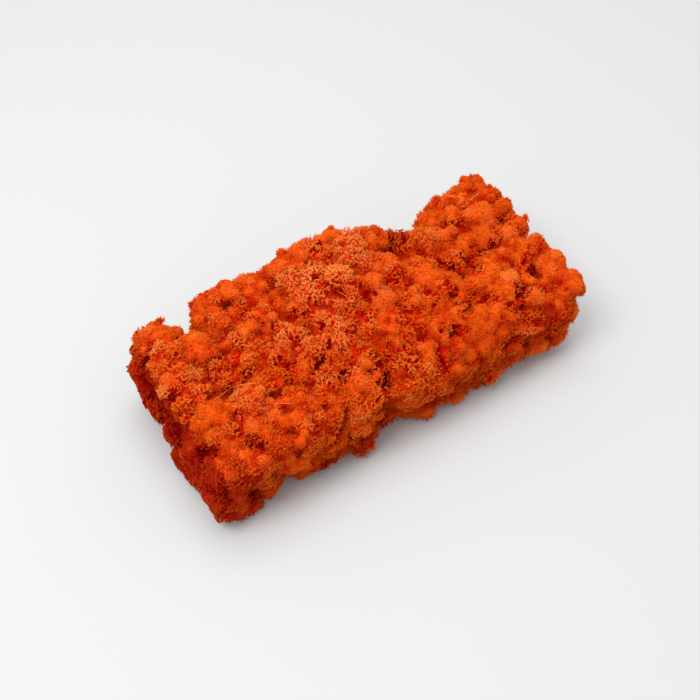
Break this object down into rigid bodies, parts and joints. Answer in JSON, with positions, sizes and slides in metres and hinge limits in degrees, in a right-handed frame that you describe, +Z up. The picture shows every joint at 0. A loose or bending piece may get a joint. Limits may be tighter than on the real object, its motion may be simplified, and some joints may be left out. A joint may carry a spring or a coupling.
{
  "type": "reindeer moss clump",
  "caption": "Springy clump of dyed preserved reindeer moss: rounded lichen cushions of fine forked branches matted into one block that rests on its pressed flat underside.",
  "frame": {"origin": "middle of the bounding box at the base plane, where the pressed underside rests", "axes": "+X along the clump's length, +Y across its width away from the front, +Z up through the crowns"},
  "size_m": [0.3892, 0.1906, 0.1045],
  "materials": {
    "dyed_lichen": "matt, dyed orange, paler at the branch tips and darker red inside"
  },
  "bodies": {
    "root": {"moss_clump": "dyed_lichen"}
  },
  "joints": []
}
